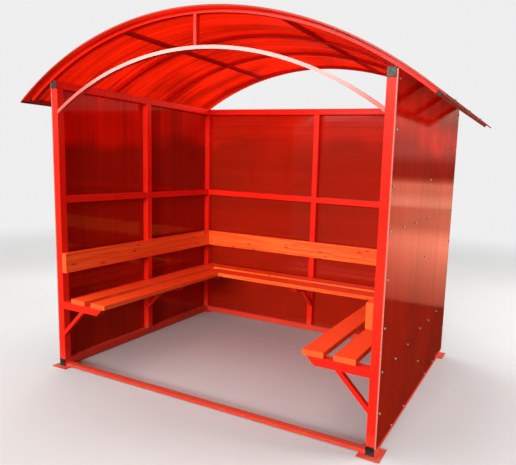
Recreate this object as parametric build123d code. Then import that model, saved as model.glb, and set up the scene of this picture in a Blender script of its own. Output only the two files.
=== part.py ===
from build123d import *
from math import asin, atan2, cos, degrees, radians, sin, sqrt
import os

# Smoking shelter: three-sided steel frame, barrel roof, twin-wall sheet, U-shaped bench.
# Millimetres, Z up. X runs along the width, Y from the open front (minus) to the back.
# The origin is at floor level under the middle of the plan.

# Main frame of square tube
frame_width = 2405
frame_depth = 1670
wall_height = 2000
tube = 50
tube_wall = 2
tube_corner = 3

# Heights above the underside of the bottom rails
mid_rail_underside = 1180
seat_rail_underside = 428

# Foot plates
plate_size = 130
plate_thickness = 6
plate_front_reach = 35
bolt_hole = 12
bolt_spacing = 80

# Threshold bar between the front feet
threshold_setback = 10
threshold_depth = 40
threshold_height = 20
threshold_wall = 1.5

# Roof of flat tube, laid with its wide side towards the sheet
roof_tube_width = 30
roof_tube_height = 20
roof_tube_wall = 1.5
roof_radius = 2330
roof_bays = 3
eave_reach = 1412
purlin_reach = 555
weld_gap = 0.3

# Lower arch across the entrance, of the same tube
portal_crown = 2161
portal_radius = 2060

# Twin-wall sheet
sheet_thickness = 8
sheet_lift = 40
sheet_top_drop = 10
roof_sheet_reach = 1450
roof_sheet_overhang = 50
sheet_gap = 0.3

# Bench boards
slat_width = 130
slat_thickness = 33
slat_gap = 60
side_bench_offset = 80
back_bench_offset = 50
mitre_gap = 2
board_edge = 3

# Bench brackets
arm_setback = 25
arm_bevel = 45
brace_width = 30
brace_height = 25
brace_wall = 1.5
brace_reach = 180
brace_drop = 180
corner_arm_setback = 45

# Backrest boards
backrest_underside = 690
backrest_height = 140
backrest_thickness = 40
backrest_joint = 2

# Push-in end plugs
plug_head = 4
plug_depth = 14
plug_clearance = 0.3
plug_edge = 1.5

# Places worked out from the sizes above
base = plate_thickness
half_width = frame_width / 2
half_depth = frame_depth / 2
front = -half_depth
back = half_depth
inner_x = half_width - tube
inner_back = back - tube
rail_x = half_width - tube / 2
rail_end = back - plug_head
top = base + wall_height
seat_top_of_arm = base + seat_rail_underside + tube
plate_y = half_depth + plate_front_reach - plate_size / 2
arch_pitch = (frame_depth - tube - roof_tube_width) / roof_bays
corner_reach = half_width - tube_corner
corner_swing = roof_radius - tube_corner - weld_gap
roof_centre = top - tube_corner - sqrt(corner_swing ** 2 - corner_reach ** 2)
slat_pitch = slat_width + slat_gap
bench_width = slat_pitch + slat_width
side_seat_front = inner_x - side_bench_offset - bench_width
back_seat_front = inner_back - back_bench_offset - bench_width
side_arm_length = side_bench_offset + bench_width - arm_setback
back_arm_length = back_bench_offset + bench_width - arm_setback


def hollow_section(width, height, wall, corner):
    outline = RectangleRounded(width, height, corner) if corner else Rectangle(width, height)
    return outline - Rectangle(width - 2 * wall, height - 2 * wall)


def tube_between(start, end, width=tube, height=tube, wall=tube_wall, corner=tube_corner, up=(0, 0, 1)):
    # A straight open tube whose centre line runs from start to end, its height towards up
    axis = Vector(*end) - Vector(*start)
    side = Vector(*up).cross(axis)
    plane = Plane(origin=start, x_dir=side, z_dir=axis)
    section = plane * hollow_section(width, height, wall, corner)
    return extrude(section, amount=axis.length, dir=axis.normalized())


def block(low, high):
    size = [b - a for a, b in zip(low, high)]
    middle = [(a + b) / 2 for a, b in zip(low, high)]
    return Pos(*middle) * Box(*size)


def rail_y(x, underside, start=front, end=rail_end):
    height = underside + tube / 2
    return tube_between((x, start, height), (x, end, height))


def rail_x_between(y, underside, start, end):
    height = underside + tube / 2
    return tube_between((start, y, height), (end, y, height))


def post(x, y):
    return tube_between((x, y, base + tube), (x, y, top - tube), up=(0, 1, 0))


def mirrored(shape):
    return mirror(shape, about=Plane.YZ)


# Foot plate with four bolt holes
def foot_plate(x, y):
    holes = GridLocations(bolt_spacing, bolt_spacing, 2, 2) * Circle(bolt_hole / 2)
    return Pos(x, y, 0) * extrude(Rectangle(plate_size, plate_size) - holes, amount=plate_thickness)


# Spans between the posts of a side wall and of the back wall
side_gaps = [(front + tube, -tube / 2), (tube / 2, inner_back)]


def side_rail_spans(underside):
    return [rail_y(rail_x, underside, a, b) for a, b in side_gaps]


back_y = back - tube / 2
back_gaps = [(-inner_x, -tube / 2), (tube / 2, inner_x)]


def back_rail_spans(underside):
    return [rail_x_between(back_y, underside, a, b) for a, b in back_gaps]


# Threshold bar
def threshold_bar():
    middle = (-inner_x, front + threshold_setback + threshold_depth / 2, base + threshold_height / 2)
    section = hollow_section(threshold_depth, threshold_height, threshold_wall, 0)
    plane = Plane(origin=middle, x_dir=(0, 1, 0), z_dir=(1, 0, 0))
    return extrude(plane * section, amount=2 * inner_x)


# A ring segment in a vertical plane across the width, from y to y + depth
def ring_segment(radius, thickness, centre, y, depth, half_angle):
    section = Rectangle(thickness, depth)
    plane = Plane(
        origin=(0, y + depth / 2, centre),
        x_dir=(sin(radians(-half_angle)), 0, cos(radians(-half_angle))),
        z_dir=(cos(radians(half_angle)), 0, sin(radians(half_angle))),
    )
    profile = plane * Pos(radius + thickness / 2, 0) * section
    axis = Axis((0, 0, centre), (0, 1, 0))
    return revolve(profile, axis, revolution_arc=2 * half_angle)


eave_radius = roof_radius + roof_tube_height / 2
eave_angle = degrees(asin(eave_reach / eave_radius))
purlin_angle = degrees(asin(purlin_reach / eave_radius))


# The half space beyond a roof purlin's near face, used to square off the arch ends
def beyond_eave(angle):
    reach = 4 * roof_tube_width
    plane = Plane(
        origin=(eave_radius * sin(radians(angle)), 0, roof_centre + eave_radius * cos(radians(angle))),
        x_dir=(cos(radians(angle)), 0, -sin(radians(angle))),
        z_dir=(0, -1, 0),
    )
    slab = Box(reach, reach, 2 * frame_depth, align=(Align.MIN, Align.CENTER, Align.CENTER))
    return plane * Pos(-roof_tube_width / 2, 0) * slab


def roof_arch(y):
    outer = ring_segment(roof_radius, roof_tube_height, roof_centre, y, roof_tube_width, eave_angle)
    bore = ring_segment(
        roof_radius + roof_tube_wall,
        roof_tube_height - 2 * roof_tube_wall,
        roof_centre,
        y + roof_tube_wall,
        roof_tube_width - 2 * roof_tube_wall,
        eave_angle,
    )
    right_end = beyond_eave(eave_angle)
    return outer - bore - right_end - mirrored(right_end)


# A straight roof purlin at an angle round the barrel, its faces square to the arches
def purlin(angle, start, end):
    x = eave_radius * sin(radians(angle))
    z = roof_centre + eave_radius * cos(radians(angle))
    outward = (sin(radians(angle)), 0, cos(radians(angle)))
    ends = (x, start, z), (x, end, z)
    return tube_between(*ends, roof_tube_width, roof_tube_height, roof_tube_wall, 0, outward)


arch_starts = [front + i * arch_pitch for i in range(roof_bays + 1)]
roof_end = arch_starts[-1] + roof_tube_width


def purlin_spans(angle):
    return [purlin(angle, y + roof_tube_width, y + arch_pitch) for y in arch_starts[:-1]]


# Lower arch across the entrance: one bent tube whose ends meet the posts
def portal_arch():
    half_angle = degrees(asin(half_width / portal_radius))
    centre = base + portal_crown - portal_radius
    inner_radius = portal_radius - roof_tube_height
    outer = ring_segment(inner_radius, roof_tube_height, centre, front, roof_tube_width, half_angle)
    bore = ring_segment(
        inner_radius + roof_tube_wall,
        roof_tube_height - 2 * roof_tube_wall,
        centre,
        front + roof_tube_wall,
        roof_tube_width - 2 * roof_tube_wall,
        half_angle,
    )
    keep = block((-inner_x, front - tube, base), (inner_x, front + tube, top + wall_height))
    return (outer - bore) & keep


def portal_strut():
    y = front + roof_tube_width / 2
    return tube_between(
        (0, y, base + portal_crown),
        (0, y, roof_centre + roof_radius - weld_gap),
        roof_tube_height,
        roof_tube_width,
        roof_tube_wall,
        0,
        (0, 1, 0),
    )


# Twin-wall sheets
def side_sheet():
    low = (half_width, front, base + sheet_lift)
    high = (half_width + sheet_thickness, back, top - sheet_top_drop)
    return block(low, high)


def back_sheet():
    low = (-half_width, back, base + sheet_lift)
    high = (half_width, back + sheet_thickness, top - sheet_top_drop)
    return block(low, high)


def roof_sheet():
    inner = roof_radius + roof_tube_height + sheet_gap
    half_angle = degrees(asin(roof_sheet_reach / inner))
    depth = frame_depth + 2 * roof_sheet_overhang
    start = front - roof_sheet_overhang
    return ring_segment(inner, sheet_thickness, roof_centre, start, depth, half_angle)


# Boards with eased long edges
def eased(board, axis):
    return fillet(board.edges().filter_by(axis), board_edge)


def backrest_side():
    low = (inner_x - backrest_thickness, front, base + backrest_underside)
    high = (inner_x, inner_back, base + backrest_underside + backrest_height)
    return eased(block(low, high), Axis.Y)


def backrest_back():
    reach = inner_x - backrest_thickness - backrest_joint
    low = (-reach, inner_back - backrest_thickness, base + backrest_underside)
    high = (reach, inner_back, base + backrest_underside + backrest_height)
    return eased(block(low, high), Axis.X)


# Everything on the side-bench part of the right mitre, or on the back-bench part
def mitre_side(keep_side):
    reach = 2 * frame_width
    shift = -mitre_gap / 2 if keep_side else mitre_gap / 2
    corner = (side_seat_front, back_seat_front, seat_top_of_arm)
    half = Box(reach, reach, reach, align=(Align.CENTER, Align.MAX if keep_side else Align.MIN, Align.CENTER))
    return Pos(*corner) * Rot(0, 0, 45) * Pos(0, shift, 0) * half


def slat(low, high, axis):
    return eased(block((*low, seat_top_of_arm), (*high, seat_top_of_arm + slat_thickness)), axis)


def side_slats():
    slats = []
    for i in range(2):
        x = side_seat_front + i * slat_pitch
        board = slat((x, front), (x + slat_width, back), Axis.Y)
        slats.append(board & mitre_side(True))
    return slats


def back_slats():
    slats = []
    for i in range(2):
        y = back_seat_front + i * slat_pitch
        board = slat((-half_width, y), (half_width, y + slat_width), Axis.X)
        right_part = mitre_side(False)
        slats.append(board & right_part & mirrored(right_part))
    return slats


# Bracket along +X from the origin: a closed arm with a bevelled tip, and its brace
def bracket_arm(length):
    depth = tube / 2
    tip = length - tube / sin(radians(arm_bevel)) * cos(radians(arm_bevel))

    def outline(inset, back_inset):
        slope = inset / sin(radians(arm_bevel)) + inset
        top_z = tube - inset
        return Polyline(
            (back_inset, inset),
            (tip - slope + inset + inset, inset),
            (length - slope, top_z),
            (back_inset, top_z),
            close=True,
        )

    outer = extrude(Plane.XZ * make_face(outline(0, 0)), amount=depth, both=True)
    bore = extrude(Plane.XZ * make_face(outline(tube_wall, -tube)), amount=depth - tube_wall, both=True)
    return outer - bore


def bracket_brace():
    # From the underside of the arm down to the face of the post, flush with one side of both
    y = (tube - brace_width) / 2
    angle = atan2(brace_drop, brace_reach)
    overrun = brace_width * 2
    start = (brace_reach + overrun * cos(angle), y, overrun * sin(angle))
    end = (-overrun * cos(angle), y, -brace_drop - overrun * sin(angle))
    bar = tube_between(start, end, brace_height, brace_width, brace_wall, 0, (0, 1, 0))
    keep = block((0, -tube, -2 * brace_drop), (2 * brace_reach, tube, 0))
    return bar & keep


def corner_arm():
    # Diagonal arm from the rear corner post to the inner corner of the bench
    away = atan2(back_seat_front - inner_back, side_seat_front - inner_x)
    gap = sqrt((back_seat_front - inner_back) ** 2 + (side_seat_front - inner_x) ** 2)
    start = Pos(inner_x, inner_back, base + seat_rail_underside) * Rot(0, 0, degrees(away))
    arm = start * Pos(-tube / 2, 0, 0) * bracket_arm(gap + tube / 2 - corner_arm_setback)
    side_frame = block((inner_x, 0, 0), (half_width, back, top))
    back_frame = block((0, inner_back, 0), (half_width, back, top))
    return arm - side_frame - back_frame


def side_brackets():
    pieces = []
    for y in (front + tube / 2, 0):
        place = Pos(inner_x, y, base + seat_rail_underside) * Rot(0, 0, 180)
        pieces += [place * bracket_arm(side_arm_length), place * bracket_brace()]
    return pieces


def back_brackets():
    place = Pos(0, inner_back, base + seat_rail_underside) * Rot(0, 0, -90)
    corner = corner_arm()
    return [place * bracket_arm(back_arm_length), place * bracket_brace(), corner, mirrored(corner)]


# Push-in plug, head outwards along -Y at the origin
def end_plug(width, height, wall):
    head = Pos(0, -plug_head / 2, 0) * Box(width, plug_head, height)
    head = chamfer(head.faces().sort_by(Axis.Y)[0].edges(), plug_edge)
    inset = 2 * wall + 2 * plug_clearance
    stub = Pos(0, plug_depth / 2, 0) * Box(width - inset, plug_depth, height - inset)
    return head + stub


def end_plugs():
    plugs = []
    rail_plug = end_plug(tube, tube, tube_wall)
    small_plug = end_plug(roof_tube_width, roof_tube_height, roof_tube_wall)
    for z in (base + tube / 2, top - tube / 2):
        plugs.append(Pos(rail_x, front, z) * rail_plug)
        plugs.append(Pos(rail_x, rail_end, z) * Rot(0, 0, 180) * rail_plug)
    x = eave_radius * sin(radians(eave_angle))
    z = roof_centre + eave_radius * cos(radians(eave_angle))
    plugs.append(Pos(x, front, z) * Rot(0, eave_angle, 0) * small_plug)
    plugs.append(Pos(x, roof_end, z) * Rot(0, eave_angle, 0) * Rot(0, 0, 180) * small_plug)
    return plugs + [mirrored(plug) for plug in plugs]


nodes = {
    "foot_plate_front_left": [foot_plate(-rail_x, -plate_y)],
    "foot_plate_front_right": [foot_plate(rail_x, -plate_y)],
    "foot_plate_rear_left": [foot_plate(-rail_x, plate_y)],
    "foot_plate_rear_right": [foot_plate(rail_x, plate_y)],
    "bottom_rail_left": [rail_y(-rail_x, base)],
    "bottom_rail_right": [rail_y(rail_x, base)],
    "bottom_rail_back": [rail_x_between(back_y, base, -inner_x, inner_x)],
    "threshold_bar": [threshold_bar()],
    "top_rail_left": [rail_y(-rail_x, top - tube)],
    "top_rail_right": [rail_y(rail_x, top - tube)],
    "top_rail_back": [rail_x_between(back_y, top - tube, -inner_x, inner_x)],
    "corner_post_front_left": [post(-rail_x, front + tube / 2)],
    "corner_post_front_right": [post(rail_x, front + tube / 2)],
    "corner_post_rear_left": [post(-rail_x, back_y)],
    "corner_post_rear_right": [post(rail_x, back_y)],
    "mid_post_left": [post(-rail_x, 0)],
    "mid_post_right": [post(rail_x, 0)],
    "mid_post_back": [post(0, back_y)],
    "mid_rail_left": [mirrored(span) for span in side_rail_spans(base + mid_rail_underside)],
    "mid_rail_right": side_rail_spans(base + mid_rail_underside),
    "mid_rail_back": back_rail_spans(base + mid_rail_underside),
    "seat_rail_left": [mirrored(span) for span in side_rail_spans(base + seat_rail_underside)],
    "seat_rail_right": side_rail_spans(base + seat_rail_underside),
    "seat_rail_back": back_rail_spans(base + seat_rail_underside),
    "wall_sheet_left": [mirrored(side_sheet())],
    "wall_sheet_right": [side_sheet()],
    "wall_sheet_back": [back_sheet()],
    "roof_arch_front": [roof_arch(arch_starts[0])],
    "roof_arch_second": [roof_arch(arch_starts[1])],
    "roof_arch_third": [roof_arch(arch_starts[2])],
    "roof_arch_rear": [roof_arch(arch_starts[3])],
    "eave_rails": [purlin(angle, front, roof_end) for angle in (-eave_angle, eave_angle)],
    "roof_purlins": purlin_spans(-purlin_angle) + purlin_spans(purlin_angle),
    "portal_arch": [portal_arch()],
    "portal_strut": [portal_strut()],
    "roof_sheet": [roof_sheet()],
    "backrest_left": [mirrored(backrest_side())],
    "backrest_right": [backrest_side()],
    "backrest_back": [backrest_back()],
    "seat_slats_left": [mirrored(board) for board in side_slats()],
    "seat_slats_right": side_slats(),
    "seat_slats_back": back_slats(),
    "seat_brackets_left": [mirrored(piece) for piece in side_brackets()],
    "seat_brackets_right": side_brackets(),
    "seat_brackets_back": back_brackets(),
    "end_plugs": end_plugs(),
}


def solids_of(pieces):
    return [solid for piece in pieces for solid in piece.solids()]


os.makedirs("parts", exist_ok=True)
for name, pieces in nodes.items():
    solids = solids_of(pieces)
    shape = solids[0] if len(solids) == 1 else Compound(children=solids)
    export_step(shape, f"parts/{name}.step")
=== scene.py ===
import math

import bmesh
import bpy
from mathutils import Matrix, Vector

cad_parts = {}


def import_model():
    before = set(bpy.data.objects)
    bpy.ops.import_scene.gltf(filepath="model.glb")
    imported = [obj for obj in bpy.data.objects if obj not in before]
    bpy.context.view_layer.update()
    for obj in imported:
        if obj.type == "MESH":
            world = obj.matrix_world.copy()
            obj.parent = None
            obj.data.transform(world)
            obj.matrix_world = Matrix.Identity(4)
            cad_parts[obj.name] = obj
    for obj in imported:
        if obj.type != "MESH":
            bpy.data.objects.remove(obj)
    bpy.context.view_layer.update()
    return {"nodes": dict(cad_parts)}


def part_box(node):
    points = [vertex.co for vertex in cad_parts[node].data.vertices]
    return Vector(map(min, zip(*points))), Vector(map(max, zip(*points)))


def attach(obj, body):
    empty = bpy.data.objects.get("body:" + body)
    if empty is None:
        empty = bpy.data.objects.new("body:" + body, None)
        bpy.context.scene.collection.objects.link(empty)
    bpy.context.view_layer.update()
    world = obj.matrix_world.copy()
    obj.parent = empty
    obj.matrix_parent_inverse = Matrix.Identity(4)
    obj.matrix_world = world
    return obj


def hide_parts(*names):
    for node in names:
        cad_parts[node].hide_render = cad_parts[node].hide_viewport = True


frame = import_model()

nodes = frame["nodes"]
MM = 0.001
X, Y, Z = Vector((1, 0, 0)), Vector((0, 1, 0)), Vector((0, 0, 1))

# Sizes read from the frame
RIGHT_SHEET_LOW, RIGHT_SHEET_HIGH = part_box("wall_sheet_right")
BACK_SHEET_LOW, BACK_SHEET_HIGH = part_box("wall_sheet_back")
ROOF_LOW, ROOF_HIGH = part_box("roof_sheet")
FRONT_POST_LOW, FRONT_POST_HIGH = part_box("corner_post_front_right")
TUBE = FRONT_POST_HIGH.y - FRONT_POST_LOW.y
SHEET_THICKNESS = RIGHT_SHEET_HIGH.x - RIGHT_SHEET_LOW.x
BASE_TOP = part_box("foot_plate_front_right")[1].z

# Twin-wall sheet
CELL_PITCH = 10.5 * MM
SKIN = 0.6 * MM
WEB = 0.5 * MM
RIDGE_HEIGHT = 0.05 * MM
RIDGE_WIDTH = 2.4 * MM
CELL_DEPTH = 18 * MM
ROOF_SEGMENTS = 48
CREASE_ANGLE = math.radians(8)
MERGE_DIGITS = 7


def new_object(name, data):
    made = bpy.data.objects.new(name, data)
    bpy.context.scene.collection.objects.link(made)
    return made


def mesh_from(name, bm):
    mesh = bpy.data.meshes.new(name)
    bm.to_mesh(mesh)
    bm.free()
    return mesh


def opaque(colour):
    return (*colour, 1)


def toned(colour, factor):
    return tuple(min(1, channel * factor) for channel in colour)


# The node tree of one material, or of the world. Values that go in are numbers, colours or sockets.
class Shader:
    def __init__(self, name, world=False):
        self.owner = bpy.data.worlds.new(name) if world else bpy.data.materials.new(name)
        self.owner.use_nodes = True
        self.tree = self.owner.node_tree
        self.tree.nodes.clear()
        self.output = self.add("ShaderNodeOutputWorld" if world else "ShaderNodeOutputMaterial")
        self.position = self.add("ShaderNodeTexCoord").outputs["Generated" if world else "Object"]

    def add(self, kind, **values):
        node = self.tree.nodes.new(kind)
        for key, value in values.items():
            setattr(node, key, value)
        return node

    def link(self, source, target):
        self.tree.links.new(source, target)

    def put(self, target, value):
        if isinstance(value, bpy.types.NodeSocket):
            self.link(value, target)
        else:
            target.default_value = value

    def math(self, operation, first, second=0.0, clamp=False):
        node = self.add("ShaderNodeMath", operation=operation, use_clamp=clamp)
        self.put(node.inputs[0], first)
        self.put(node.inputs[1], second)
        return node.outputs[0]

    def plus(self, first, second, clamp=False):
        return self.math("ADD", first, second, clamp)

    def minus(self, first, second):
        return self.math("SUBTRACT", first, second)

    def times(self, first, second, clamp=False):
        return self.math("MULTIPLY", first, second, clamp)

    # Stretches a vector, the position where none is given, by one scale or by one on each axis
    def scaled(self, scale, offset=(0, 0, 0), vector=None):
        node = self.add("ShaderNodeMapping")
        self.link(self.position if vector is None else vector, node.inputs["Vector"])
        node.inputs["Scale"].default_value = scale if isinstance(scale, tuple) else (scale, scale, scale)
        node.inputs["Location"].default_value = offset
        return node.outputs["Vector"]

    def split(self, vector):
        node = self.add("ShaderNodeSeparateXYZ")
        self.link(vector, node.inputs[0])
        return node.outputs

    def joined(self, sockets):
        node = self.add("ShaderNodeCombineXYZ")
        for source, target in zip(sockets, node.inputs):
            self.put(target, source)
        return node.outputs[0]

    def normal(self):
        return self.split(self.add("ShaderNodeNewGeometry").outputs["Normal"])

    def noise(self, vector, detail=2.0, roughness=0.5):
        node = self.add("ShaderNodeTexNoise")
        self.link(vector, node.inputs["Vector"])
        node.inputs["Scale"].default_value = 1.0
        node.inputs["Detail"].default_value = detail
        node.inputs["Roughness"].default_value = roughness
        return node.outputs["Fac"]

    def ramp(self, value, stops):
        node = self.add("ShaderNodeValToRGB")
        elements = node.color_ramp.elements
        while len(elements) < len(stops):
            elements.new(0.5)
        for element, (place, colour) in zip(elements, stops):
            element.position = place
            element.color = opaque(colour)
        self.link(value, node.inputs["Fac"])
        return node.outputs["Color"]

    # Turns the values of one range, given as its two ends, into those of another, and keeps them inside it
    def remap(self, value, source, target=(0.0, 1.0), soft=False):
        node = self.add("ShaderNodeMapRange", clamp=True)
        node.interpolation_type = "SMOOTHSTEP" if soft else "LINEAR"
        self.link(value, node.inputs["Value"])
        for key, end in zip(("From Min", "From Max", "To Min", "To Max"), (*source, *target)):
            node.inputs[key].default_value = end
        return node.outputs["Result"]

    def mix(self, share, first, second, blend="MIX"):
        node = self.add("ShaderNodeMix", data_type="RGBA", blend_type=blend)
        self.put(node.inputs["Factor"], share)
        colours = [socket for socket in node.inputs if socket.type == "RGBA"]
        self.put(colours[0], first)
        self.put(colours[1], second)
        return [socket for socket in node.outputs if socket.type == "RGBA"][0]

    def bump(self, height, strength, distance):
        node = self.add("ShaderNodeBump")
        self.link(height, node.inputs["Height"])
        node.inputs["Strength"].default_value = strength
        node.inputs["Distance"].default_value = distance
        return node.outputs["Normal"]

    def principled(self, **values):
        node = self.add("ShaderNodeBsdfPrincipled")
        for key, value in values.items():
            self.put(node.inputs[key], value)
        return node.outputs["BSDF"]

    def plain(self, kind, colour, strength=None):
        node = self.add(kind)
        self.put(node.inputs["Color"], colour)
        if strength is not None:
            self.put(node.inputs["Strength"], strength)
        return node.outputs[0]

    def blend(self, share, first, second):
        node = self.add("ShaderNodeMixShader")
        self.put(node.inputs["Fac"], share)
        self.link(first, node.inputs[1])
        self.link(second, node.inputs[2])
        return node.outputs["Shader"]

    def finish(self, surface):
        self.link(surface, self.output.inputs["Surface"])
        return self.owner


# Materials. Colours are linear, and the sizes of noise are in features per metre.
NOISE_RANGE = (0.3, 0.7)

# Paint: dust lies on what faces up, less with height, and is splashed on the feet
PAINT_COLOURS = (0.70, 0.010, 0.004), (0.80, 0.017, 0.006)
# The portal arch's paler, pinkish red is a painted highlight: the sheen on its front face is put into its
# colour.
ARCH_SHEEN_COLOURS = (0.78, 0.085, 0.066), (0.84, 0.110, 0.088)
# The darker, duller red of the eave rails and purlins is painted shade.
EAVE_SHADE_COLOURS = (0.40, 0.024, 0.012), (0.50, 0.032, 0.014)
MOTTLE, WEAR, SPECKLE, ORANGE_PEEL = 3, 9, 42, 240
PEEL_HEIGHT = 0.5 * MM
DUST = (0.25, 0.14, 0.08)
DUST_ROUGHNESS = 0.5
FACES_UP = (0.6, 0.95)
LYING_HEIGHTS, LYING_SHARES = (0.01, 0.7), (0.34, 0.06)
SPLASH_HEIGHTS, SPLASH_SHARES = (0.0, 0.14), (0.44, 0.0)
SPECKLE_RANGE, SPECKLE_FLOOR = (0.40, 0.72), 0.25


# How much of the paint is under dust
def dust_share(shader):
    height = shader.split(shader.position)[2]
    speckle = shader.remap(shader.noise(shader.scaled(SPECKLE), detail=5.0, roughness=0.65), SPECKLE_RANGE)
    facing_up = shader.remap(shader.normal()[2], FACES_UP)
    lying = shader.times(facing_up, shader.remap(height, LYING_HEIGHTS, LYING_SHARES))
    splashed = shader.remap(height, SPLASH_HEIGHTS, SPLASH_SHARES)
    return shader.times(shader.plus(lying, splashed), shader.plus(speckle, SPECKLE_FLOOR), clamp=True)


# Gloss enamel: faint mottling in the red, fine orange peel and dust
def enamel(name, colours, rough, coat, coat_rough, coat_ior, specular, peel):
    shader = Shader(name)
    mottle = shader.noise(shader.scaled(MOTTLE), detail=3.0)
    colour = shader.ramp(mottle, list(zip(NOISE_RANGE, colours)))
    dust = dust_share(shader)
    wear = shader.remap(shader.noise(shader.scaled(WEAR), detail=4.0), NOISE_RANGE, rough)
    return shader.finish(shader.principled(**{
        "Base Color": shader.mix(dust, colour, opaque(DUST)),
        "Roughness": shader.plus(wear, shader.times(dust, DUST_ROUGHNESS), clamp=True),
        "Specular IOR Level": specular,
        "Coat Weight": coat,
        "Coat Roughness": coat_rough,
        "Coat IOR": coat_ior,
        "Normal": shader.bump(shader.noise(shader.scaled(ORANGE_PEEL)), strength=peel, distance=PEEL_HEIGHT),
    }))


# Sheets: fine streaks along the cells, broad bands and clouds, each a share of one shade
WALL_RED, ROOF_RED = (0.47, 0.016, 0.004), (0.60, 0.030, 0.008)
# The walls' tints, contrasts and top light differ by wall as painted light and shade: the right wall, lit
# from outside, has the brightest tint.
RIGHT_LIT_TINT = (0.62, 0.030, 0.010)
LEFT_TINT = (0.53, 0.022, 0.007)
BACK_TINT = (0.54, 0.024, 0.008)
ROOF_TINT = (0.86, 0.080, 0.030)
STREAK_ACROSS, STREAK_ALONG, STREAK_THROUGH = 48.0, 0.5, 3.0
BAND_ACROSS, BAND_ALONG, BAND_THROUGH = 6.5, 0.35, 1.1
BAND_OFFSET = (0.7, 2.3, 4.1)
CLOUD = 1.5
BAND_SHARE = 0.30
SHADE_RANGE = (0.36, 0.62)

# The webs show through the skin as paler lines, which let less light through
WEB_TONE = (0.80, 0.06, 0.02)
WEB_EDGES, WEB_SHARE, WEB_CLEARNESS = (0.34, 0.5), 0.30, 0.35

# Painted light in the glow of the sheet by height: brighter at the top, where it varies by wall, and a little
# by the bench
TOP_HEIGHTS, UNDER_TOP = (1.60, 1.74), 0.80
BENCH_HEIGHTS, BENCH_LIGHT = (0.95, 1.25), (1.15, 1.0)
HEIGHT_WANDER = 0.5

SKIN_ROUGHNESS, SKIN_IOR = (0.04, 0.09), 1.58
COAT_STREAKS, COAT_WEIGHTS, COAT_ROUGHNESS, COAT_IOR = (0.35, 0.60), (0.55, 1.0), 0.03, 1.6


# 1 at the webs and 0 between them
def web_lines(shader, across):
    cell = shader.math("FRACT", shader.math("DIVIDE", shader.split(shader.position)[across], CELL_PITCH))
    from_middle = shader.math("ABSOLUTE", shader.minus(cell, 0.5))
    return shader.remap(from_middle, WEB_EDGES)


# The scale of a noise that is drawn out along the cells
def stretched(across, along, across_scale, along_scale, through_scale):
    scale = [through_scale] * 3
    scale[across], scale[along] = across_scale, along_scale
    return tuple(scale)


# Painted light: how bright the sheet glows by height, with a wandering edge
def painted_light_level(shader, cloud, lit_top):
    height = shader.split(shader.position)[2]
    wander = shader.plus(height, shader.times(shader.minus(cloud, 0.5), HEIGHT_WANDER))
    under_roof = shader.remap(wander, TOP_HEIGHTS, (UNDER_TOP, lit_top), soft=True)
    by_bench = shader.remap(wander, BENCH_HEIGHTS, BENCH_LIGHT, soft=True)
    return shader.times(under_roof, by_bench)


# Twin-wall polycarbonate, a mix of glossy skin, glow and clear view. across and along are the axes that count
# the cells and follow them, as letters.
def sheet_material(name, across, along, tint, body, see_through, glow, contrast, face_contrast, lit_top,
                   streaky):
    shader = Shader(name)
    across, along = "XYZ".index(across), "XYZ".index(along)
    web = web_lines(shader, across)
    streak_scale = stretched(across, along, STREAK_ACROSS, STREAK_ALONG, STREAK_THROUGH)
    band_scale = stretched(across, along, BAND_ACROSS, BAND_ALONG, BAND_THROUGH)
    streak = shader.noise(shader.scaled(streak_scale), detail=3.0, roughness=0.6)
    band = shader.noise(shader.scaled(band_scale, BAND_OFFSET))
    cloud = shader.noise(shader.scaled(CLOUD))
    parts = shader.plus(shader.times(streak, streaky), shader.times(band, BAND_SHARE))
    shade = shader.plus(parts, shader.times(cloud, 1 - BAND_SHARE - streaky))
    colour = shader.ramp(shade, list(zip(SHADE_RANGE, (toned(body, 1 - face_contrast), body))))
    skin = shader.principled(**{
        "Base Color": shader.mix(shader.times(web, WEB_SHARE), colour, opaque(WEB_TONE)),
        "Roughness": shader.remap(cloud, NOISE_RANGE, SKIN_ROUGHNESS),
        "IOR": SKIN_IOR,
        "Coat Weight": shader.remap(streak, COAT_STREAKS, COAT_WEIGHTS),
        "Coat Roughness": COAT_ROUGHNESS,
        "Coat IOR": COAT_IOR,
    })
    tints = toned(tint, 1 - contrast), toned(tint, 1 + contrast)
    passed = shader.ramp(shade, list(zip(SHADE_RANGE, tints)))
    # The glow's colour carries the painted light by height
    level = painted_light_level(shader, cloud, lit_top)
    soft = shader.plain("ShaderNodeBsdfTranslucent", shader.mix(1.0, passed, level, "MULTIPLY"))
    clear = shader.plain("ShaderNodeBsdfTransparent", opaque(tint))
    through = shader.times(shader.remap(web, (0.0, 1.0), (1.0, WEB_CLEARNESS)), see_through)
    return shader.finish(shader.blend(through, shader.blend(glow, skin, soft), clear))


WALL_EDGE_TONE, ROOF_EDGE_TONE = (0.60, 0.17, 0.13), (0.42, 0.030, 0.018)
SAW_MARKS, SAW_RANGE, SAW_SHADE = 160, (0.35, 0.65), 0.8


# Edge of a sheet: dull, with fine saw marks. The roof's long sides are darker than all the others.
def sheet_edge(name, tint):
    shader = Shader(name)
    marks = shader.noise(shader.scaled(SAW_MARKS), detail=3.0)
    return shader.finish(shader.principled(**{
        "Base Color": shader.ramp(marks, list(zip(SAW_RANGE, (toned(tint, SAW_SHADE), tint)))),
        "Roughness": shader.remap(marks, NOISE_RANGE, (0.22, 0.4)),
        "Coat Weight": 0.6,
        "Coat Roughness": 0.15,
    }))


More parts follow.
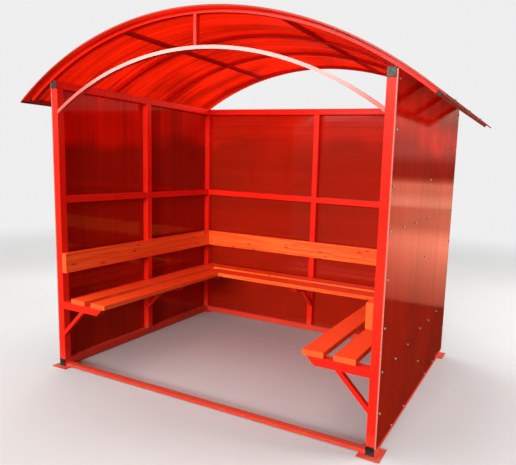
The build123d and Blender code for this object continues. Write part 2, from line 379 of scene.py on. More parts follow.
# Wood: the first axis of a board's place is the one along its grain
GRAIN_AXES = {"X": (0, 1, 2), "Y": (1, 0, 2)}
GRAIN, GRAIN_OFFSET = (0.55, 34, 34), (0, 1.7, 3.1)
SWAY, SWAY_REACH = (1.1, 3.0, 3.0), 0.10
FIBRE = (5, 380, 380)
STAIN, STAIN_OFFSET = (0.8, 5.0, 5.0), (3.3, 0.4, 0.9)
STAIN_RANGE, STAIN_SHARES = (0.40, 0.66), (0.0, 0.6)
LINES_IN_GRAIN = 7.0
LINE_WEIGHT, FIBRE_WEIGHT = 0.55, 0.45
WOOD_TONES = (0.15, (0.95, 0.175, 0.034)), (0.55, (0.86, 0.105, 0.017)), (0.92, (0.64, 0.050, 0.007))
STAIN_TONE = (0.74, 0.072, 0.010)
# Painted light: the red light from the roof on the boards' tops
LIT_TOP_TONE = (1.0, 0.072, 0.013)
TOP_FACES, TOP_SHARES = (0.5, 0.9), (0.0, 0.88)
KNOT_TONE, KNOT_SHARE, KNOT_DEPTH = (0.16, 0.014, 0.005), 0.58, 0.4
KNOT_SPREAD, KNOT_OFFSET, KNOT_EDGE = (7, 20, 20), (0.37, 0.2, 0.9), (0.15, 0.20)
RAGGED, RAGGED_REACH = (40, 90, 90), 0.05
END_FACE = 0.7
END_RINGS, PITH, RING_WANDER = (0.0, 95, 95), (0, 2.4, -3.3), 1.2
END_TONES = (0.1, (0.90, 0.115, 0.022)), (0.9, (0.78, 0.070, 0.012))
GRAIN_HEIGHT = 0.8 * MM


# The grain's pattern, which sways a little to the side along the board, and its finest part
def grain_pattern(shader, board):
    sway = shader.noise(shader.scaled(SWAY, vector=board))
    lean = shader.joined((0.0, shader.times(shader.minus(sway, 0.5), SWAY_REACH), 0.0))
    shifted = shader.add("ShaderNodeVectorMath", operation="ADD")
    shader.link(board, shifted.inputs[0])
    shader.link(lean, shifted.inputs[1])
    rings = shader.noise(shader.scaled(GRAIN, GRAIN_OFFSET, shifted.outputs[0]), roughness=0.55)
    lines = shader.math("PINGPONG", shader.times(rings, LINES_IN_GRAIN), 1.0)
    fibre = shader.noise(shader.scaled(FIBRE, vector=board), detail=3.0, roughness=0.6)
    grain = shader.plus(shader.times(lines, LINE_WEIGHT), shader.times(fibre, FIBRE_WEIGHT))
    return grain, fibre


# 1 inside a knot and 0 outside
def knot_pattern(shader, board):
    cells = shader.add("ShaderNodeTexVoronoi", feature="F1", distance="EUCLIDEAN")
    cells.inputs["Scale"].default_value = 1.0
    shader.link(shader.scaled(KNOT_SPREAD, KNOT_OFFSET, board), cells.inputs["Vector"])
    ragged = shader.times(shader.noise(shader.scaled(RAGGED, vector=board)), RAGGED_REACH)
    return shader.remap(shader.plus(cells.outputs["Distance"], ragged), KNOT_EDGE, (1.0, 0.0), soft=True)


def end_rings(shader, board):
    circles = shader.add("ShaderNodeTexWave", wave_type="RINGS", rings_direction="X", wave_profile="SAW")
    shader.link(shader.scaled(END_RINGS, PITH, board), circles.inputs["Vector"])
    circles.inputs["Distortion"].default_value = RING_WANDER
    return shader.ramp(circles.outputs["Fac"], END_TONES)


# Stained pine: grain along one axis, growth rings on the cut ends, a few small knots, and painted light on
# top: faces that look up take a brighter, redder tone
def wood(name, along):
    shader = Shader(name)
    axes = GRAIN_AXES[along]
    place = shader.split(shader.position)
    board = shader.joined([place[axis] for axis in axes])
    grain, fibre = grain_pattern(shader, board)
    knot = knot_pattern(shader, board)
    stain = shader.remap(shader.noise(shader.scaled(STAIN, STAIN_OFFSET, board)), STAIN_RANGE, STAIN_SHARES)
    stained = shader.mix(stain, shader.ramp(grain, WOOD_TONES), opaque(STAIN_TONE))
    knotty = shader.mix(shader.times(knot, KNOT_SHARE), stained, opaque(KNOT_TONE))
    facing = shader.normal()
    # Painted light on the faces that look up
    lit_on_top = shader.mix(shader.remap(facing[2], TOP_FACES, TOP_SHARES), knotty, opaque(LIT_TOP_TONE))
    end_face = shader.math("GREATER_THAN", shader.math("ABSOLUTE", facing[axes[0]]), END_FACE)
    height = shader.minus(grain, shader.times(knot, KNOT_DEPTH))
    return shader.finish(shader.principled(**{
        "Base Color": shader.mix(end_face, lit_on_top, end_rings(shader, board)),
        "Roughness": shader.remap(fibre, NOISE_RANGE, (0.34, 0.50)),
        "Coat Weight": 0.12,
        "Coat Roughness": 0.25,
        "Normal": shader.bump(height, strength=0.25, distance=GRAIN_HEIGHT),
    }))


# Small parts
PLUG_TONES = (0.35, (0.010, 0.009, 0.008)), (0.75, (0.026, 0.022, 0.020))
PLUG_GRIT, PLUG_SCUFF, GRIT_HEIGHT = 900, 60, 0.2 * MM
STEEL_TONES = (0.3, (0.40, 0.38, 0.35)), (0.7, (0.74, 0.70, 0.64))
STEEL_WEAR = 500
RUBBER_TONES = (0.3, (0.012, 0.012, 0.012)), (0.7, (0.03, 0.03, 0.03))
RUBBER_WEAR = 700


def plug_plastic():
    shader = Shader("end_plug")
    grit = shader.noise(shader.scaled(PLUG_GRIT))
    scuff = shader.noise(shader.scaled(PLUG_SCUFF), detail=4.0)
    return shader.finish(shader.principled(**{
        "Base Color": shader.ramp(scuff, PLUG_TONES),
        "Roughness": shader.remap(scuff, NOISE_RANGE, (0.20, 0.36)),
        "Specular IOR Level": 1.0,
        "Normal": shader.bump(grit, strength=0.15, distance=GRIT_HEIGHT),
    }))


def screw_steel():
    shader = Shader("screw_steel")
    wear = shader.noise(shader.scaled(STEEL_WEAR), detail=3.0)
    return shader.finish(shader.principled(**{
        "Base Color": shader.ramp(wear, STEEL_TONES),
        "Metallic": 0.6,
        "Roughness": shader.remap(wear, NOISE_RANGE, (0.30, 0.50)),
    }))


def washer_rubber():
    shader = Shader("washer_rubber")
    colour = shader.ramp(shader.noise(shader.scaled(RUBBER_WEAR)), RUBBER_TONES)
    return shader.finish(shader.principled(**{"Base Color": colour, "Roughness": 0.7}))


PAINT = enamel("frame_paint", PAINT_COLOURS, rough=(0.26, 0.38), coat=0.20, coat_rough=0.14, coat_ior=1.5,
               specular=0.45, peel=0.08)
# The arch's paint carries its painted highlight in the colour.
ARCH_SHEEN_PAINT = enamel("arch_paint_painted_sheen", ARCH_SHEEN_COLOURS, rough=(0.20, 0.26), coat=1.0, coat_rough=0.14, coat_ior=2.1,
                    specular=1.0, peel=0.02)
# The eave rails' and purlins' paint carries painted shade in its colour.
EAVE_SHADE_PAINT = enamel("eave_paint_painted_shade", EAVE_SHADE_COLOURS, rough=(0.50, 0.62), coat=0.0, coat_rough=0.30, coat_ior=1.5,
                    specular=0.25, peel=0.08)
# Each wall has its own copy of the sheet, with painted light and shade of its own.
RIGHT_SHEET = sheet_material("wall_sheet_right", "Y", "Z", RIGHT_LIT_TINT, WALL_RED, see_through=0.22, glow=0.32,
                             contrast=0.36, face_contrast=0.20, lit_top=2.3, streaky=0.24)
LEFT_SHEET = sheet_material("wall_sheet_left", "Y", "Z", LEFT_TINT, WALL_RED, see_through=0.22, glow=0.32,
                            contrast=0.45, face_contrast=0.25, lit_top=2.9, streaky=0.30)
BACK_SHEET = sheet_material("wall_sheet_back", "Z", "X", BACK_TINT, WALL_RED, see_through=0.22, glow=0.32,
                            contrast=0.36, face_contrast=0.20, lit_top=2.4, streaky=0.28)
ROOF_SHEET = sheet_material("roof_sheet", "Y", "X", ROOF_TINT, ROOF_RED, see_through=0.20, glow=0.76,
                            contrast=0.92, face_contrast=0.30, lit_top=1.0, streaky=0.38)
ROOF_TOP = sheet_material("roof_sheet_top", "Y", "X", ROOF_TINT, ROOF_RED, see_through=0.20, glow=0.62,
                          contrast=0.45, face_contrast=0.20, lit_top=1.0, streaky=0.38)
EDGE = sheet_edge("sheet_edge", WALL_EDGE_TONE)
ROOF_EDGE = sheet_edge("roof_sheet_edge", ROOF_EDGE_TONE)
WOOD_X = wood("bench_wood_across", "X")
WOOD_Y = wood("bench_wood_front_to_back", "Y")
PLUG = plug_plastic()
STEEL = screw_steel()
RUBBER = washer_rubber()

# Nodes with another material than the frame's paint. The four sheets are replaced further down.
NODE_MATERIALS = {
    "backrest_left": WOOD_Y, "backrest_right": WOOD_Y, "backrest_back": WOOD_X,
    "seat_slats_left": WOOD_Y, "seat_slats_right": WOOD_Y, "seat_slats_back": WOOD_X,
    "end_plugs": PLUG, "portal_arch": ARCH_SHEEN_PAINT, "eave_rails": EAVE_SHADE_PAINT, "roof_purlins": EAVE_SHADE_PAINT,
}
for name, node in nodes.items():
    node.data.materials.clear()
    node.data.materials.append(NODE_MATERIALS.get(name, PAINT))

# Material slots of a twin-wall mesh
INNER_SKIN, CUT_END, OUTER_SKIN, LONG_SIDE = range(4)


# Mesh of a twin-wall sheet: ridged skins over webs, closed long sides, open cells at the two cut ends.
# place(u, v, w) gives the point at u across the cells, v along them (0 to 1) and w through the thickness.
class TwinWall:
    def __init__(self, place, width, thickness, length, segments=1):
        self.place = place
        self.width, self.thickness = width, thickness
        self.cell_depth = CELL_DEPTH / length
        self.stations = [i / segments for i in range(segments + 1)]
        self.bm = bmesh.new()
        self.vertices = {}

    def vertex(self, point):
        key = tuple(round(value, MERGE_DIGITS) for value in point)
        if key not in self.vertices:
            self.vertices[key] = self.bm.verts.new(self.place(*point))
        return self.vertices[key]

    def face(self, points, flip, slot):
        corners = [self.vertex(point) for point in points]
        made = self.bm.faces.new(reversed(corners) if flip else corners)
        made.material_index = slot

    # One skin of one cell, which stands highest over the webs at its sides
    def skin(self, left, right, peak, flat, slot):
        across = (left, left + RIDGE_WIDTH / 2, right - RIDGE_WIDTH / 2, right)
        profile = list(zip(across, (peak, flat, flat, peak)))
        for start, stop in zip(self.stations, self.stations[1:]):
            for (u0, w0), (u1, w1) in zip(profile, profile[1:]):
                strip = [(u0, start, w0), (u1, start, w1), (u1, stop, w1), (u0, stop, w0)]
                self.face(strip, slot == INNER_SKIN, slot)

    # One cut end of one cell: the cut skins and webs around its mouth, then the walls and floor of the hole
    def cut_end(self, left, right, end, inward):
        flip = inward < 0
        top, flat_top, flat_low = self.thickness, self.thickness - RIDGE_HEIGHT, RIDGE_HEIGHT
        ridge_left, ridge_right = left + RIDGE_WIDTH / 2, right - RIDGE_WIDTH / 2
        near, far = left + WEB / 2, right - WEB / 2
        low, high = RIDGE_HEIGHT + SKIN, self.thickness - RIDGE_HEIGHT - SKIN
        outlines = (
            [(left, top), (ridge_left, flat_top), (ridge_right, flat_top), (right, top), (far, high),
             (near, high)],
            [(left, 0), (near, low), (far, low), (right, 0), (ridge_right, flat_low), (ridge_left, flat_low)],
            [(left, 0), (left, top), (near, high), (near, low)],
            [(right, top), (right, 0), (far, low), (far, high)],
        )
        for outline in outlines:
            self.face([(u, end, w) for u, w in outline], flip, CUT_END)
        mouth = [(near, low), (near, high), (far, high), (far, low)]
        deep = end + inward * self.cell_depth
        for (u0, w0), (u1, w1) in zip(mouth, mouth[1:] + mouth[:1]):
            self.face([(u0, end, w0), (u1, end, w1), (u1, deep, w1), (u0, deep, w0)], flip, CUT_END)
        self.face([(u, deep, w) for u, w in mouth], flip, CUT_END)

    def long_side(self, edge, flip):
        top = self.thickness
        for start, stop in zip(self.stations, self.stations[1:]):
            strip = [(edge, start, 0), (edge, start, top), (edge, stop, top), (edge, stop, 0)]
            self.face(strip, flip, LONG_SIDE)

    def build(self, name):
        count = round(self.width / CELL_PITCH)
        pitch = self.width / count
        for cell in range(count):
            left, right = cell * pitch, (cell + 1) * pitch
            self.skin(left, right, self.thickness, self.thickness - RIDGE_HEIGHT, OUTER_SKIN)
            self.skin(left, right, 0, RIDGE_HEIGHT, INNER_SKIN)
            self.cut_end(left, right, 0, 1)
            self.cut_end(left, right, 1, -1)
        self.long_side(0, False)
        self.long_side(self.width, True)
        bmesh.ops.recalc_face_normals(self.bm, faces=self.bm.faces)
        mesh = mesh_from(name, self.bm)
        mesh.shade_smooth()
        mesh.set_sharp_from_angle(angle=CREASE_ANGLE)
        return mesh


# Puts a sheet in the place of its plain node. The materials follow the order of the slots.
def add_sheet(name, node, wall, materials):
    mesh = wall.build(name)
    for material in materials:
        mesh.materials.append(material)
    sheet = new_object(name, mesh)
    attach(sheet, "root")
    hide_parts(node)


def side_sheet(name, node, sign, material):
    low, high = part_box(node)
    inner = low.x if sign > 0 else high.x

    def place(u, v, w):
        return (inner + sign * w, low.y + u, low.z + v * (high.z - low.z))

    wall = TwinWall(place, high.y - low.y, high.x - low.x, high.z - low.z)
    add_sheet(name, node, wall, (material, EDGE, material, EDGE))


def back_sheet():
    low, high = BACK_SHEET_LOW, BACK_SHEET_HIGH

    def place(u, v, w):
        return (low.x + v * (high.x - low.x), low.y + w, low.z + u)

    wall = TwinWall(place, high.z - low.z, high.y - low.y, high.x - low.x)
    add_sheet("twin_wall_back", "wall_sheet_back", wall, (BACK_SHEET, EDGE, BACK_SHEET, EDGE))


# The roof's circle, from the top of its crown and its lower end at +X
def roof_circle():
    vertices = [v.co for v in nodes["roof_sheet"].data.vertices]
    crown_top = max(v.z for v in vertices)
    eave = max(vertices, key=lambda v: v.x)
    drop = crown_top - eave.z
    radius = (eave.x ** 2 + drop ** 2) / (2 * drop)
    return radius, crown_top - radius


ROOF_OUTER, ROOF_CENTRE = roof_circle()
ROOF_INNER = ROOF_OUTER - SHEET_THICKNESS
ROOF_HALF_ANGLE = math.asin(ROOF_HIGH.x / ROOF_OUTER)


def roof_sheet():
    def place(u, v, w):
        angle = ROOF_HALF_ANGLE * (2 * v - 1)
        radius = ROOF_INNER + w
        return (radius * math.sin(angle), ROOF_LOW.y + u, ROOF_CENTRE + radius * math.cos(angle))

    length = 2 * ROOF_HALF_ANGLE * ROOF_OUTER
    wall = TwinWall(place, ROOF_HIGH.y - ROOF_LOW.y, SHEET_THICKNESS, length, ROOF_SEGMENTS)
    add_sheet("twin_wall_roof", "roof_sheet", wall, (ROOF_SHEET, EDGE, ROOF_TOP, ROOF_EDGE))


side_sheet("twin_wall_right", "wall_sheet_right", 1, RIGHT_SHEET)
side_sheet("twin_wall_left", "wall_sheet_left", -1, LEFT_SHEET)
back_sheet()
roof_sheet()

# Self-drilling screw, built along +Z from the sheet's face: rubber ring, steel washer and hexagon head, each
# with its material slot, its number of sides and its rings as (radius, height) in millimetres
STEEL_SLOT, RUBBER_SLOT = 0, 1
ROUND, HEXAGON = 18, 6
SCREW_PARTS = (
    (RUBBER_SLOT, ROUND, ((7.2, 0.0), (7.2, 1.2), (6.6, 1.6))),
    (STEEL_SLOT, ROUND, ((6.6, 1.6), (6.4, 2.2), (4.8, 2.7))),
    (STEEL_SLOT, HEXAGON, ((4.3, 2.7), (4.3, 5.6), (3.4, 6.4))),
)


def add_ring(bm, matrix, sides, radius, height):
    angles = [2 * math.pi * i / sides for i in range(sides)]
    points = [Vector((radius * math.cos(angle), radius * math.sin(angle), height)) * MM for angle in angles]
    return [bm.verts.new(matrix @ point) for point in points]


def add_screw(bm, point, direction):
    matrix = Matrix.Translation(point) @ Vector(direction).to_track_quat("Z", "Y").to_matrix().to_4x4()
    for slot, sides, rings in SCREW_PARTS:
        loops = [add_ring(bm, matrix, sides, radius, height) for radius, height in rings]
        faces = [bm.faces.new(list(reversed(loops[0]))), bm.faces.new(loops[-1])]
        for lower, upper in zip(loops, loops[1:]):
            for i in range(sides):
                j = (i + 1) % sides
                faces.append(bm.faces.new((lower[i], lower[j], upper[j], upper[i])))
        for face in faces:
            face.material_index = slot


def add_screws(name, places):
    bm = bmesh.new()
    for point, direction in places:
        add_screw(bm, point, direction)
    mesh = mesh_from(name, bm)
    mesh.materials.append(STEEL)
    mesh.materials.append(RUBBER)
    screws = new_object(name, mesh)
    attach(screws, "root")


# Screw heights above the foot plates on a corner post, on a mid post and on the rails, and the shares of a
# rail between two posts at which its screws sit
CORNER_POST_SCREWS = (0.235, 0.465, 0.700, 0.955, 1.205, 1.430, 1.705, 1.945)
MID_POST_SCREWS = (0.235, 0.465, 0.955, 1.205, 1.455, 1.705)
WALL_SCREWS = (CORNER_POST_SCREWS, MID_POST_SCREWS, CORNER_POST_SCREWS)
RAIL_ROWS = (0.0515, 0.453, 1.205)
SIDE_RAIL_SHARES = (0.3, 0.62)
BACK_RAIL_SHARES = (0.25, 0.5, 0.75)


# Screw places of one wall as (distance along the wall, height), from the lines of its three posts
def wall_places(post_lines, shares):
    places = [(line, z) for line, heights in zip(post_lines, WALL_SCREWS) for z in heights]
    for z in RAIL_ROWS:
        for start, stop in zip(post_lines, post_lines[1:]):
            places += [(start + (stop - start) * share, z) for share in shares]
    return [(along, BASE_TOP + z) for along, z in places]


def side_screws(name, sign):
    posts = ("corner_post_front_right", "mid_post_right", "corner_post_rear_right")
    lines = [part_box(post)[0].y + TUBE / 2 for post in posts]
    x = RIGHT_SHEET_HIGH.x * sign
    add_screws(name, [((x, y, z), (sign, 0, 0)) for y, z in wall_places(lines, SIDE_RAIL_SHARES)])


def back_screws():
    reach = FRONT_POST_LOW.x + TUBE / 2
    y = BACK_SHEET_HIGH.y
    places = wall_places((-reach, 0, reach), BACK_RAIL_SHARES)
    add_screws("screws_back", [((x, y, z), (0, 1, 0)) for x, z in places])


# The photo shows no screw along the front arch, so only the other three carry them
SCREWED_ARCHES = ("roof_arch_second", "roof_arch_third", "roof_arch_rear")
ROOF_SCREW_REACHES = (0.27, 0.555, 0.84, 1.13, 1.385)


def roof_screws():
    places = []
    for arch in SCREWED_ARCHES:
        low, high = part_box(arch)
        for x in [side * reach for reach in ROOF_SCREW_REACHES for side in (-1, 1)]:
            angle = math.asin(x / ROOF_OUTER)
            outward = Vector((math.sin(angle), 0, math.cos(angle)))
            foot = Vector((0, (low.y + high.y) / 2, ROOF_CENTRE))
            places.append((outward * ROOF_OUTER + foot, outward))
    add_screws("screws_roof", places)


side_screws("screws_right", 1)
side_screws("screws_left", -1)
back_screws()
roof_screws()

# Fillet weld: a small bead with a rounded face. It ripples between its full leg and a share of it.
BEAD_LEG = 3.2 * MM
RIPPLE_LENGTH = 4.0 * MM
BEAD_SINK = 0.6 * MM
BEAD_TROUGH, BEAD_TIP = 0.78, 0.45
BULGE_OUT, BULGE_UP = 0.92, 0.35
FEWEST_STEPS = 4
TUBE_CORNER = 4 * MM
TUBE_FLAT = TUBE - 2 * TUBE_CORNER
INNER_FACE = FRONT_POST_LOW.x
PLATE_BEAD_INSET = 6 * MM
BAR_BEAD_INSET = 2 * MM
MIDDLE_GAP = 1 * MM


# The bead lies in the corner between two faces, whose normals are given as first and second
def add_bead(bm, middle, along, first, second, length):
    middle, along, first, second = Vector(middle), Vector(along), Vector(first), Vector(second)
    count = max(FEWEST_STEPS, round(length / RIPPLE_LENGTH * 2))
    ripples = [1.0 if i % 2 else BEAD_TROUGH for i in range(count + 1)]
    ripples[0] = ripples[-1] = BEAD_TIP
    rings = []
    for i, ripple in enumerate(ripples):
        leg = BEAD_LEG * ripple
        point = middle + along * (length * (i / count - 0.5))
        ring = (
            point - (first + second) * BEAD_SINK,
            point + second * leg - first * BEAD_SINK,
            point + second * leg * BULGE_OUT + first * leg * BULGE_UP,
            point + first * leg * BULGE_OUT + second * leg * BULGE_UP,
            point + first * leg - second * BEAD_SINK,
        )
        rings.append([bm.verts.new(p) for p in ring])
    for lower, upper in zip(rings, rings[1:]):
        for i in range(len(lower)):
            j = (i + 1) % len(lower)
            bm.faces.new((lower[i], lower[j], upper[j], upper[i]))
    bm.faces.new(rings[0])
    bm.faces.new(list(reversed(rings[-1])))


# Beads over and under a rail's ends, which meet posts at the places in ends, each with its way along the rail
def rail_beads(bm, rail, ends, run):
    low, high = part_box(rail)
    middle = (low + high) / 2
    across = run.cross(Z)
    for place, way in ends:
        for height, up in ((high.z, 1), (low.z, -1)):
            point = Vector((middle.x, middle.y, height))
            point[0 if run == X else 1] = place
            add_bead(bm, point, across, Z * up, run * way, TUBE_FLAT)


# Both ends of a post: on its bottom rail and under its top rail
def post_beads(bm, bottom, top, place, along, outward):
    add_bead(bm, (*place, bottom), along, Z, outward, TUBE_FLAT)
    add_bead(bm, (*place, top), along, -Z, outward, TUBE_FLAT)


# The arms meet the posts' inner faces, with their tops under the slats
def arm_beads(bm, place, along, outward):
    arm_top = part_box("seat_slats_right")[0].z
    add_bead(bm, (*place, arm_top), along, Z, outward, TUBE_FLAT)
    add_bead(bm, (*place, arm_top - TUBE), along, -Z, outward, TUBE_FLAT)


def foot_beads(bm, plate):
    low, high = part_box(plate)
    rail_low, rail_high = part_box("bottom_rail_right")
    start, stop = max(low.y, rail_low.y), min(high.y, rail_high.y)
    for x, way in ((rail_low.x, -1), (rail_high.x, 1)):
        add_bead(bm, (x, (start + stop) / 2, high.z), Y, Z, X * way, stop - start - PLATE_BEAD_INSET)


def threshold_beads(bm):
    low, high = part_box("threshold_bar")
    add_bead(bm, (high.x, (low.y + high.y) / 2, high.z), Y, Z, -X, high.y - low.y - BAR_BEAD_INSET)
    add_bead(bm, (high.x, high.y, (low.z + high.z) / 2), Z, Y, -X, high.z - low.z - BAR_BEAD_INSET)


# Repeats on the left the faces that lie wholly to the right of the middle
def mirror_right_half(bm):
    right_half = [face for face in bm.faces if min(v.co.x for v in face.verts) > MIDDLE_GAP]
    for element in bmesh.ops.duplicate(bm, geom=right_half)["geom"]:
        if isinstance(element, bmesh.types.BMVert):
            element.co.x = -element.co.x


def side_beads(bm):
    post_low, post_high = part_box("mid_post_right")
    rear_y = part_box("corner_post_rear_right")[0].y
    ends = [(FRONT_POST_HIGH.y, 1), (post_low.y, -1), (post_high.y, 1), (rear_y, -1)]
    for rail in ("mid_rail_right", "seat_rail_right"):
        rail_beads(bm, rail, ends, Y)
    x = (post_low.x + post_high.x) / 2
    for y, way in ends:
        post_beads(bm, post_low.z, post_high.z, (x, y), X, Y * way)
    for y in (FRONT_POST_LOW.y + TUBE / 2, 0.0):
        arm_beads(bm, (INNER_FACE, y), Y, -X)


def back_beads(bm):
    post_low, post_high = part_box("mid_post_back")
    ends = [(post_high.x, 1), (INNER_FACE, -1)]
    for rail in ("mid_rail_back", "seat_rail_back"):
        rail_beads(bm, rail, ends, X)
    y = (post_low.y + post_high.y) / 2
    for x, way in ends:
        post_beads(bm, post_low.z, post_high.z, (x, y), Y, X * way)
    arm_beads(bm, (0, post_low.y), X, -Y)


def frame_welds():
    bm = bmesh.new()
    side_beads(bm)
    back_beads(bm)
    for plate in ("foot_plate_front_right", "foot_plate_rear_right"):
        foot_beads(bm, plate)
    threshold_beads(bm)
    mirror_right_half(bm)
    bmesh.ops.recalc_face_normals(bm, faces=bm.faces)
    mesh = mesh_from("weld_beads", bm)
    mesh.shade_smooth()
    mesh.materials.append(PAINT)
    beads = new_object("weld_beads", mesh)
    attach(beads, "root")


frame_welds()

# Studio: what the camera sees of it is pale and even
FLOOR_REACH = 16.0
FLOOR_CLEARANCE = 0.4 * MM
BACKDROP = (0.86, 0.86, 0.86)
FLOOR_TONES = (0.3, (0.50, 0.50, 0.495)), (0.7, (0.54, 0.54, 0.535))
FLOOR_MOTTLE = 0.6
FADE_DISTANCES = (3.0, 9.0)
BOUNCING_FLOOR = (0.17, 0.15, 0.13)

# What paint and sheets mirror of the floor: a patch behind the shelter on the right, whose brightness changes
# with the way back, and a faint glow in front
PATCH_CARD, FRONT_CARD = (1.0, 0.34, 0.20), (1.0, 0.74, 0.44)
PATCH_EDGE_Y, PATCH_STRENGTH = (2.18, 2.42), (0.0, 1.7)
PATCH_NEAR_Y, PATCH_RISE = (2.4, 6.4), (0.33, 1.3)
PATCH_FAR_Y, PATCH_FALL = (7.0, 10.0), (1.0, 0.55)
PATCH_EDGE_X = (0.7, 1.3)
PATCH_COLOUR_RANGE = (0.0, 0.5)
FRONT_Y, FRONT_STRENGTH = (-3.0, -0.9), (0.14, 0.03)


def seen_floor(shader, place):
    mottle = shader.noise(shader.scaled(FLOOR_MOTTLE), detail=3.0)
    near = shader.principled(**{
        "Base Color": shader.ramp(mottle, FLOOR_TONES),
        "Roughness": 0.8,
        "Specular IOR Level": 0.2,
    })
    square = shader.plus(shader.math("POWER", place[0], 2.0), shader.math("POWER", place[1], 2.0))
    fade = shader.remap(shader.math("SQRT", square), FADE_DISTANCES, soft=True)
    return shader.blend(fade, near, shader.plain("ShaderNodeEmission", opaque(BACKDROP)))


def mirrored_floor(shader, place):
    behind = shader.remap(place[1], PATCH_EDGE_Y, PATCH_STRENGTH, soft=True)
    rising = shader.times(behind, shader.remap(place[1], PATCH_NEAR_Y, PATCH_RISE))
    falling = shader.times(rising, shader.remap(place[1], PATCH_FAR_Y, PATCH_FALL, soft=True))
    patch = shader.times(falling, shader.remap(place[0], PATCH_EDGE_X, soft=True))
    front = shader.remap(place[1], FRONT_Y, FRONT_STRENGTH, soft=True)
    card = shader.mix(shader.remap(patch, PATCH_COLOUR_RANGE), opaque(FRONT_CARD), opaque(PATCH_CARD))
    return shader.plain("ShaderNodeEmission", card, shader.math("MAXIMUM", patch, front))


# Pale where the camera sees it, dull for the light that bounces off it, with bright parts only in mirrors
def floor_material():
    shader = Shader("studio_floor")
    path = shader.add("ShaderNodeLightPath")
    place = shader.split(shader.position)
    bouncing = shader.principled(**{
        "Base Color": opaque(BOUNCING_FLOOR),
        "Roughness": 0.9,
        "Specular IOR Level": 0.0,
    })
    unseen = shader.blend(path.outputs["Is Glossy Ray"], bouncing, mirrored_floor(shader, place))
    return shader.finish(shader.blend(path.outputs["Is Camera Ray"], unseen, seen_floor(shader, place)))


def stage():
    size = FLOOR_REACH
    corners = [(-size, -size, 0), (size, -size, 0), (size, size, 0), (-size, size, 0)]
    mesh = bpy.data.meshes.new("studio_floor")
    mesh.from_pydata(corners, [], [(0, 1, 2, 3)])
    mesh.materials.append(floor_material())
    floor = new_object("studio_floor", mesh)
    floor.location.z = -FLOOR_CLEARANCE


def lamp(name, place, target, size, power, mirrored=False, colour=(1, 1, 1)):
    data = bpy.data.lights.new(name, "AREA")
    data.shape = "RECTANGLE"
    data.size, data.size_y = size
    data.energy = power
    data.color = colour
    made = new_object(name, data)
    made.location = place
    made.rotation_euler = (Vector(target) - Vector(place)).to_track_quat("-Z", "Y").to_euler()
    made.visible_camera = False
    made.visible_glossy = mirrored


def lights():
    lamp("key", place=(1.6, -18.0, 4.5), target=(0, 0, 1.4), size=(8.0, 3.2), power=4100)
    lamp("overhead", place=(-1.7, 0.1, 6.0), target=(-0.1, 0, 2), size=(7, 6), power=600)
    lamp("right_fill", place=(7.5, 2.6, 3.2), target=(1.2, 0, 0.9), size=(4, 3), power=800)
    lamp("window", place=(-4.38, -7.5, 3.72), target=(-4.38, 0, 3.3), size=(8.46, 1.5), power=133,
         mirrored=True, colour=(1, 0.95, 0.88))


# The sky in mirrors, by the height of the direction from -1 to 1: to the right, to the front and to the back.
# Its colours are half as bright as they show.
RIGHT_SKY = (
    (-0.084, (0.56, 0.19, 0.11)),
    (-0.068, (1.10, 0.46, 0.30)),
    (-0.048, (0.74, 0.27, 0.16)),
    (-0.028, (0.85, 0.289, 0.17)),
    (-0.022, (0.03, 0.014, 0.010)),
    (0.010, (0.05, 0.022, 0.018)),
    (0.03, (0.26, 0.10, 0.08)),
    (0.08, (0.28, 0.12, 0.09)),
    (0.12, (0.42, 0.22, 0.16)),
    (0.6, (0.38, 0.36, 0.35)),
)
FRONT_SKY = (
    (-0.01, (0.06, 0.03, 0.02)),
    (0.03, (0.09, 0.055, 0.04)),
    (0.08, (0.24, 0.16, 0.12)),
    (0.30, (0.24, 0.18, 0.15)),
    (1.0, (0.42, 0.41, 0.40)),
)
BACK_SKY = (
    (-0.01, (0.05, 0.03, 0.02)),
    (0.20, (0.06, 0.034, 0.028)),
    (0.38, (0.24, 0.20, 0.18)),
    (1.0, (0.42, 0.41, 0.40)),
)
SKY_STRENGTH = 2.0
BOUNCING_SKY = (0.26, 0.26, 0.26)
FRONT_TO_BACK, LEFT_TO_RIGHT = (-0.10, 0.10), (-0.05, 0.10)
SKY_PATCHES, SKY_PATCH_RANGE, SKY_PATCH_LEVELS = (7, 7, 2), (0.35, 0.65), (0.6, 1.4)


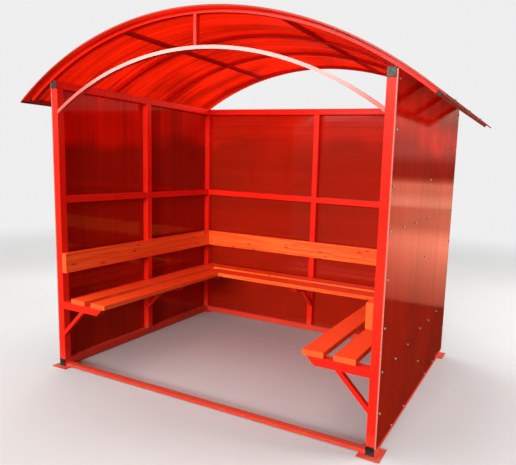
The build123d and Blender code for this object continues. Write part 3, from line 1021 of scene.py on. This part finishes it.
def mirrored_sky(shader):
    across, depth, height = shader.split(shader.position)
    level = shader.remap(height, (-1, 1))
    right, front, back = [
        shader.ramp(level, [((place + 1) / 2, colour) for place, colour in sky])
        for sky in (RIGHT_SKY, FRONT_SKY, BACK_SKY)
    ]
    left = shader.mix(shader.remap(depth, FRONT_TO_BACK), front, back)
    patches = shader.remap(shader.noise(shader.scaled(SKY_PATCHES)), SKY_PATCH_RANGE, SKY_PATCH_LEVELS)
    mottled = shader.mix(1.0, right, patches, "MULTIPLY")
    return shader.mix(shader.remap(across, LEFT_TO_RIGHT), left, mottled)


def world():
    shader = Shader("studio", world=True)
    path = shader.add("ShaderNodeLightPath")
    mirrored = shader.plain("ShaderNodeBackground", mirrored_sky(shader), SKY_STRENGTH)
    bouncing = shader.plain("ShaderNodeBackground", opaque(BOUNCING_SKY))
    seen = shader.plain("ShaderNodeBackground", opaque(BACKDROP))
    unseen = shader.blend(path.outputs["Is Glossy Ray"], bouncing, mirrored)
    bpy.context.scene.world = shader.finish(shader.blend(path.outputs["Is Camera Ray"], unseen, seen))


# The photograph is an off-centre crop, so the camera has a shift
IMAGE_WIDTH, IMAGE_HEIGHT = 516, 465
SENSOR_WIDTH = 36
FOCAL_PIXELS = 492.56
CENTRE_PIXEL = (328, 233.07)
CAMERA_PLACE = (1.9241, -3.1681, 1.5277)
CAMERA_YAW, CAMERA_PITCH, CAMERA_ROLL = 0.4207, -0.1376, -0.0433


def camera():
    data = bpy.data.cameras.new("camera")
    data.sensor_fit = "HORIZONTAL"
    data.sensor_width = SENSOR_WIDTH
    data.lens = FOCAL_PIXELS / IMAGE_WIDTH * SENSOR_WIDTH
    data.shift_x = (IMAGE_WIDTH / 2 - CENTRE_PIXEL[0]) / IMAGE_WIDTH
    data.shift_y = (CENTRE_PIXEL[1] - IMAGE_HEIGHT / 2) / IMAGE_WIDTH
    made = new_object("camera", data)
    turn = Matrix.Rotation(CAMERA_YAW, 4, "Z") @ Matrix.Rotation(CAMERA_PITCH, 4, "X")
    turn = turn @ Matrix.Rotation(CAMERA_ROLL, 4, "Y") @ Matrix.Rotation(math.pi / 2, 4, "X")
    made.matrix_world = Matrix.Translation(CAMERA_PLACE) @ turn
    bpy.context.scene.camera = made


stage()
lights()
world()
camera()
bpy.context.scene.view_settings.view_transform = "Standard"
